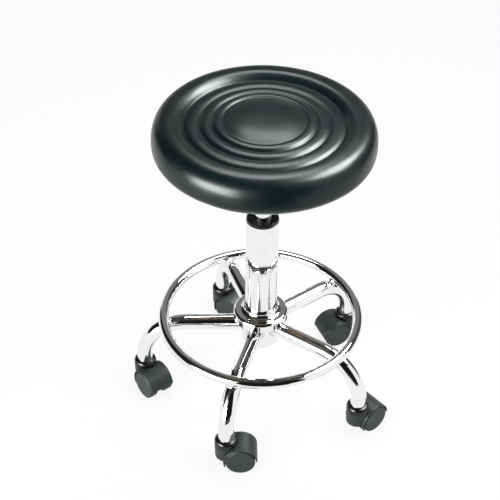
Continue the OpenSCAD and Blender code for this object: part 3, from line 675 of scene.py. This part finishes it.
def round_screen(name, start, end, outline, brightness):
    """Screen round the stool, from one compass angle to another. 0 is straight behind the stool and 90 its
    right. The outline is a line of (radius, height) points. Only reflections see the screen."""
    bm = bmesh.new()
    spin_line(bm, outline, round((end - start) / SCREEN_STEP), math.radians(start - end))
    facing = Matrix.Rotation(math.radians(90 - start), 3, "Z")
    bmesh.ops.rotate(bm, verts=bm.verts, cent=(0, 0, 0), matrix=facing)
    screen = new_object(name, bm)
    screen.data.materials.append(screen_material(name, brightness))
    screen.visible_camera = False
    screen.visible_diffuse = False
    screen.visible_shadow = False
    screen.visible_transmission = False


class STOOL_OT_stage(bpy.types.Operator):
    """Set up the camera, the pale floor, the soft lamps and the screens that the chrome reflects"""

    bl_idname = "stool.stage"
    bl_label = "Stage and camera"

    def execute(self, context):
        stage = context.scene.stool.stage
        data = bpy.data.cameras.new("Camera")
        data.sensor_width = 36
        data.angle = stage.camera_fov
        camera = bpy.data.objects.new("Camera", data)
        camera.location = stage.camera_place
        turn = (Matrix.Rotation(stage.camera_yaw, 3, "Z")
                @ Matrix.Rotation(math.radians(90) - stage.camera_pitch, 3, "X")
                @ Matrix.Rotation(stage.camera_roll, 3, "Z"))
        camera.rotation_euler = turn.to_euler()
        context.scene.collection.objects.link(camera)
        context.scene.camera = camera
        context.scene.view_settings.view_transform = "Standard"

        white_room(stage.room)
        bm = bmesh.new()
        bmesh.ops.create_circle(bm, cap_ends=True, radius=FLOOR_RADIUS, segments=FLOOR_STEPS)
        floor = new_object("floor", bm)
        floor.data.materials.append(floor_material(stage))

        for name, place, width, height in LAMPS:
            lamp(name, place, STOOL_MIDDLE, width, height, stage.panel, gleam=False)
        for name, place, target, width, height, share in GLEAMS:
            lamp(name, place, target, width, height, stage.gleam * share, gleam=True)
        for screen in SCREENS:
            round_screen(*screen)
        return {"FINISHED"}


def pad_line(pad, foot, radius, board_top):
    """The pad's half section as (radius, height) points, from the middle of the top, over the rim and round
    the hem, to the foam over the board's middle."""
    widest = foot + pad.under_rise
    crest = widest + pad.rim_rise
    grooves = [(r, crest - pad.groove_drop - i * pad.groove_step) for i, r in enumerate(pad.grooves)]
    crest_radius = radius - pad.rim_over
    board = radius - pad.rim_under
    shares = [i / GROOVE_STEPS for i in range(GROOVE_STEPS)]
    first_radius, first_height = grooves[0]
    line = [(first_radius * t, first_height + pad.dome_rise * (1 - t ** DOME_POWER)) for t in shares]
    for (r0, h0), (r1, h1) in zip(grooves, grooves[1:]):
        for t in shares:
            ridge = pad.ridge_rise * (1 - abs(2 * t - 1) ** pad.fullness)
            line.append((r0 + (r1 - r0) * t, h0 + (h1 - h0) * t + ridge))
    last_radius, last_height = grooves[-1]
    line += [(last_radius + (crest_radius - last_radius) * t,
              crest - (crest - last_height) * (1 - t) ** SLOPE_POWER) for t in shares]
    for i in range(RIM_STEPS + 1):
        turn = math.pi / 2 * i / RIM_STEPS
        line.append((crest_radius + pad.rim_over * math.sin(turn) ** (2 / pad.fullness),
                     widest + (crest - widest) * max(0, math.cos(turn)) ** (2 / pad.fullness)))
    line += arc(board, widest, pad.rim_under, widest - foot, 0, -90, TUCK_STEPS)[1:]
    line += [(board + (pad.hem_radius - board) * i / HEM_STEPS, foot) for i in range(1, HEM_STEPS + 1)]
    inside = foot + pad.hem_thick
    return line + [(pad.hem_radius, inside), (board, inside), (board, board_top), (board / 2, board_top),
                   (0, board_top)]


def swell(seat, pad):
    """Lets the stuffing push the cover out by cloth simulation, held along the grooves, hem and board."""
    rest = [vert.co.copy() for vert in seat.data.vertices]
    low = min(co.z for co in rest)
    widest = low + pad.under_rise
    held = seat.vertex_groups.new(name="held")
    for i, co in enumerate(rest):
        radius = math.hypot(co.x, co.y)
        groove = min(abs(radius - r) for r in pad.grooves)
        grip = max(0.0, 1 - groove / GROOVE_GRIP) if co.z > widest else 0.0
        if co.z < low + FOOT_GRIP or (co.z < widest and radius < pad.hem_radius + HEM_GRIP):
            grip = 1.0
        if grip:
            held.add([i], grip, "REPLACE")
    cloth = seat.modifiers.new("Stuffing", "CLOTH")
    settings = cloth.settings
    settings.quality = 6
    settings.mass = 0.3
    settings.tension_stiffness = settings.compression_stiffness = 30
    settings.shear_stiffness = 15
    settings.bending_stiffness = 4
    settings.use_pressure = True
    settings.uniform_pressure_force = 4
    settings.vertex_group_mass = "held"
    settings.effector_weights.gravity = 0
    cloth.collision_settings.use_collision = False
    scene = bpy.context.scene
    for step in range(1, CLOTH_FRAMES + 1):
        scene.frame_set(step)
    pushed = seat.evaluated_get(bpy.context.evaluated_depsgraph_get())
    moved = [vert.co.copy() for vert in pushed.to_mesh().vertices]
    pushed.to_mesh_clear()
    seat.modifiers.remove(cloth)
    scene.frame_set(1)
    for vert, co, start in zip(seat.data.vertices, moved, rest):
        push = co - start
        if push.length > pad.swell_limit:
            push *= pad.swell_limit / push.length
        vert.co = start + push


def fold_hem(seat, pad, foot, radius):
    """Gathers the hem in folds between the staples and gives the whole cover a hand-made unevenness."""
    board = radius - pad.rim_under
    for vert in seat.data.vertices:
        co = vert.co
        reach = math.hypot(co.x, co.y)
        if reach < NEAR:
            continue
        turn = math.atan2(co.y, co.x)
        outward = Vector((co.x / reach, co.y / reach, 0))
        if co.z > foot + pad.hem_thick + NEAR:
            uneven = noise.noise(co * SLOW_WAVES) * SLOW_MOVE + noise.noise(co * FINE_WAVES) * FINE_MOVE
            side = co.z < foot + pad.under_rise * 2
            co += outward * uneven if side else Vector((0, 0, uneven * TOP_SHARE))
        close = 1 - min(1, abs(reach - board) / FOLD_REACH)
        if co.z < foot + pad.under_rise and reach > pad.hem_radius - NEAR:
            shift = SHIFT * noise.noise(outward * SHIFT_WAVES)
            fold = 0.5 + 0.5 * math.cos(turn * pad.pleats + math.pi + shift)
            depth = MEAN_DEPTH + DEPTH_CHANGE * noise.noise(outward * DEPTH_WAVES + DEPTH_PLACE)
            co.z -= FOLD_DEPTH * close * fold ** 2 * depth


class STOOL_OT_seat_pad(bpy.types.Operator):
    """Build the padded seat with its ring grooves, rolled rim and stapled hem"""

    bl_idname = "stool.seat_pad"
    bl_label = "Seat pad"

    def execute(self, context):
        pad = context.scene.stool.pad
        low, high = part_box("seat_cover")
        board_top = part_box("seat_board")[1].z + BOARD_GAP
        bm = bmesh.new()
        spin_line(bm, pad_line(pad, low.z, high.x, board_top), PAD_SPIN_STEPS)
        seat = new_object("seat_pad", bm)
        swell(seat, pad)
        fold_hem(seat, pad, low.z, high.x)
        finer = seat.modifiers.new("Finer", "SUBSURF")
        finer.levels = finer.render_levels = 1
        smooth(seat)
        seat.data.materials.append(bpy.data.materials["Seat vinyl"])
        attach(seat, "seat")
        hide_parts("seat_cover", "seat_foam")
        return {"FINISHED"}


class STOOL_OT_seat_underside(bpy.types.Operator):
    """Finish the board, the steel plate, the socket and the fasteners under the seat"""

    bl_idname = "stool.seat_underside"
    bl_label = "Seat underside"

    def execute(self, context):
        finish_nodes("Plywood", "seat_board")
        finish_nodes("Zinc plating", "hem_staples", "plate_bolts", "tee_nuts", "lever_pin")
        finish_nodes("Black enamel", "seat_plate", "taper_socket")
        return {"FINISHED"}


class STOOL_OT_lever(bpy.types.Operator):
    """Finish the release lever, its grip and the button that it presses"""

    bl_idname = "stool.lever"
    bl_label = "Release lever"

    def execute(self, context):
        finish_nodes("Chrome plating", "lever_rod")
        finish_nodes("Grip plastic", "lever_grip", "release_button")
        return {"FINISHED"}


class STOOL_OT_gas_lift(bpy.types.Operator):
    """Finish the sliding cylinder, the bush and the inner pieces of the gas lift"""

    bl_idname = "stool.gas_lift"
    bl_label = "Gas lift"

    def execute(self, context):
        finish_nodes("Chrome plating", "gas_cylinder", "column_tube", "piston_rod")
        finish_nodes("Gloss black plastic", "guide_bush", "cylinder_gland")
        finish_nodes("Black rubber", "bump_stop")
        finish_nodes("Zinc plating", "piston", "bearing_top_washer", "thrust_bearing",
                     "bearing_lower_washer", "retaining_clip")
        return {"FINISHED"}


def cover_line(metal, foot, top, radius, bore, inset):
    """One side of the hub cover's plate, from its foot over the shoulder and up the hollow neck to the
    column. The inset is 0 on the outside and the plate's thickness on the inside."""
    waist = radius - metal.cover_shoulder
    rise = foot + metal.cover_skirt
    neck_across = waist - bore - metal.cover_plate + inset
    neck_up = top - rise - metal.cover_rise + inset
    skirt = [(radius - inset, foot + (rise - foot) * i / SKIRT_STEPS) for i in range(SKIRT_STEPS)]
    shoulder = arc(
        waist, rise, metal.cover_shoulder - inset, metal.cover_rise - inset, 0, 90, SHOULDER_STEPS)
    return skirt + shoulder + arc(waist, top, neck_across, neck_up, 270, 180, NECK_STEPS)[1:]


class STOOL_OT_base(bpy.types.Operator):
    """Build the hub's round pressed cover, and finish the hub, the bent legs, the foot ring and the welds"""

    bl_idname = "stool.base"
    bl_label = "Base"

    def execute(self, context):
        metal = context.scene.stool.metal
        low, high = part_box("hub_cover")
        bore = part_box("column_tube")[1].x + COLUMN_GAP
        outer = cover_line(metal, low.z, high.z, high.x, bore, 0)
        inner = cover_line(metal, low.z, high.z, high.x, bore, metal.cover_plate)
        bm = bmesh.new()
        spin_line(bm, outer + inner[::-1] + outer[:1], COVER_SPIN_STEPS)
        cover = new_object("pressed_cover", bm)
        smooth(cover)
        cover.data.materials.append(bpy.data.materials["Chrome plating"])
        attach(cover, "base")
        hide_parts("hub_cover")
        finish_nodes("Chrome plating", "hub", "foot_ring", *(f"leg_{i}" for i in LEGS))
        finish_nodes("Chromed weld", "ring_welds", "leg_welds")
        return {"FINISHED"}


class STOOL_OT_casters(bpy.types.Operator):
    """Finish the collars, the hoods, the wheels and the stems of the casters"""

    bl_idname = "stool.casters"
    bl_label = "Casters"

    def execute(self, context):
        finish_nodes("Gloss black plastic", "caster_sockets")
        finish_nodes("Zinc plating", "stem_rings")
        for i in LEGS:
            finish_nodes("Hood plastic", f"caster_housing_{i}")
            finish_nodes("Wheel plastic", f"wheel_left_{i}", f"wheel_right_{i}")
            finish_nodes("Zinc plating", f"caster_stem_{i}", f"caster_axle_{i}")
        return {"FINISHED"}


class STOOL_PT_panel(bpy.types.Panel):
    """Lists the steps that build the stool"""

    bl_idname = "STOOL_PT_panel"
    bl_label = "Work Stool"
    bl_space_type = "VIEW_3D"
    bl_region_type = "UI"
    bl_category = "Work Stool"

    def draw(self, context):
        for step in STEPS:
            self.layout.operator(step.bl_idname)


STEPS = (STOOL_OT_stage, STOOL_OT_seat_pad, STOOL_OT_seat_underside, STOOL_OT_lever, STOOL_OT_gas_lift,
         STOOL_OT_base, STOOL_OT_casters)
CLASSES = (PadSettings, MetalSettings, PlasticSettings, StageSettings, StoolSettings, *STEPS, STOOL_PT_panel)


def register():
    for cls in CLASSES:
        bpy.utils.register_class(cls)
    bpy.types.Scene.stool = bpy.props.PointerProperty(type=StoolSettings)


def unregister():
    del bpy.types.Scene.stool
    for cls in reversed(CLASSES):
        bpy.utils.unregister_class(cls)


def main():
    register()
    make_finishes(bpy.context.scene.stool)
    for step in STEPS:
        group, name = step.bl_idname.split(".")
        getattr(getattr(bpy.ops, group), name)()


if __name__ == "__main__":
    main()
